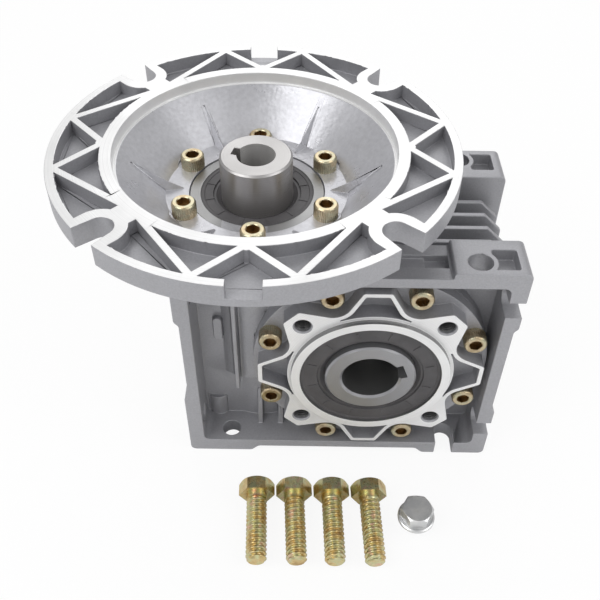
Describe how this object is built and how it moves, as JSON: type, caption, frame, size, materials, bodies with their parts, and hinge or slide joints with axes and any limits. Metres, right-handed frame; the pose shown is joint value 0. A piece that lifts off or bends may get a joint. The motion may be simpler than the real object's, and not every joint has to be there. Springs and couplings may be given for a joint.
{
  "type": "worm gear reducer",
  "caption": "Right-angle worm gear reducer: finned square cast housing, hollow keyed output shaft, round ribbed motor flange with hollow keyed input, loose fixing bolts and a plug in front.",
  "frame": {"origin": "centre of the hollow output shaft, half way along its bore", "axes": "+Z along the worm and the input bore, towards the motor flange; -Y along the output bore, out of the bolted cover; +X away from the worm"},
  "size_m": [0.1926, 0.1872, 0.15],
  "materials": {
    "casting": "sand-textured die casting in silver-grey, bright where it is machined",
    "zinc_yellow": "yellow zinc plated steel",
    "zinc_silver": "clear zinc plated steel",
    "seal_rubber": "matt dark grey rubber",
    "spring_steel": "dark oiled spring steel",
    "shaft_steel": "fine ground steel",
    "bearing_steel": "polished bearing steel",
    "bronze": "machined tin bronze"
  },
  "bodies": {
    "casing": {"housing": "casting", "output_cover": "casting", "motor_flange": "casting", "cover_screws": "zinc_yellow", "flange_screws": "zinc_yellow", "motor_bolts": "zinc_yellow", "oil_plug": "zinc_silver", "cover_seal_ring": "seal_rubber", "flange_seal_ring": "seal_rubber", "front_output_seal": "seal_rubber", "rear_output_seal": "seal_rubber", "input_seal": "seal_rubber", "worm_end_cap": "seal_rubber", "input_circlip": "spring_steel", "tail_circlip": "spring_steel", "front_output_bearing_outer_race": "bearing_steel", "rear_output_bearing_outer_race": "bearing_steel", "input_bearing_outer_race": "bearing_steel", "tail_bearing_outer_race": "bearing_steel"},
    "output_body": {"output_shaft": "shaft_steel", "worm_wheel": "bronze", "front_output_bearing_inner_race": "bearing_steel", "rear_output_bearing_inner_race": "bearing_steel"},
    "worm_body": {"worm_shaft": "shaft_steel", "input_bearing_inner_race": "bearing_steel", "tail_bearing_inner_race": "bearing_steel"},
    "front_output_bearing_balls": {"front_output_bearing_ball_cage": "bearing_steel"},
    "rear_output_bearing_balls": {"rear_output_bearing_ball_cage": "bearing_steel"},
    "input_bearing_balls": {"input_bearing_ball_cage": "bearing_steel"},
    "tail_bearing_balls": {"tail_bearing_ball_cage": "bearing_steel"}
  },
  "joints": [
    {"name": "output_spin", "type": "hinge", "parent": "casing", "child": "output_body", "pos_m": [0, 0, 0], "axis": [0, 1, 0], "continuous": true},
    {"name": "worm_spin", "type": "hinge", "parent": "casing", "child": "worm_body", "pos_m": [-0.05, 0, 0], "axis": [0, 0, 1], "continuous": true},
    {"name": "front_output_bearing_ball_orbit", "type": "hinge", "parent": "casing", "child": "front_output_bearing_balls", "pos_m": [0, 0, 0], "axis": [0, 1, 0], "continuous": true},
    {"name": "rear_output_bearing_ball_orbit", "type": "hinge", "parent": "casing", "child": "rear_output_bearing_balls", "pos_m": [0, 0, 0], "axis": [0, 1, 0], "continuous": true},
    {"name": "input_bearing_ball_orbit", "type": "hinge", "parent": "casing", "child": "input_bearing_balls", "pos_m": [-0.05, 0, 0], "axis": [0, 0, 1], "continuous": true},
    {"name": "tail_bearing_ball_orbit", "type": "hinge", "parent": "casing", "child": "tail_bearing_balls", "pos_m": [-0.05, 0, 0], "axis": [0, 0, 1], "continuous": true}
  ],
  "couplings": [
    {"joint": "worm_spin", "follows": "output_spin", "ratio": -30},
    {"joint": "front_output_bearing_ball_orbit", "follows": "output_spin", "ratio": 0.4265},
    {"joint": "rear_output_bearing_ball_orbit", "follows": "output_spin", "ratio": 0.4265},
    {"joint": "input_bearing_ball_orbit", "follows": "output_spin", "ratio": -13.146},
    {"joint": "tail_bearing_ball_orbit", "follows": "output_spin", "ratio": -11.445}
  ]
}
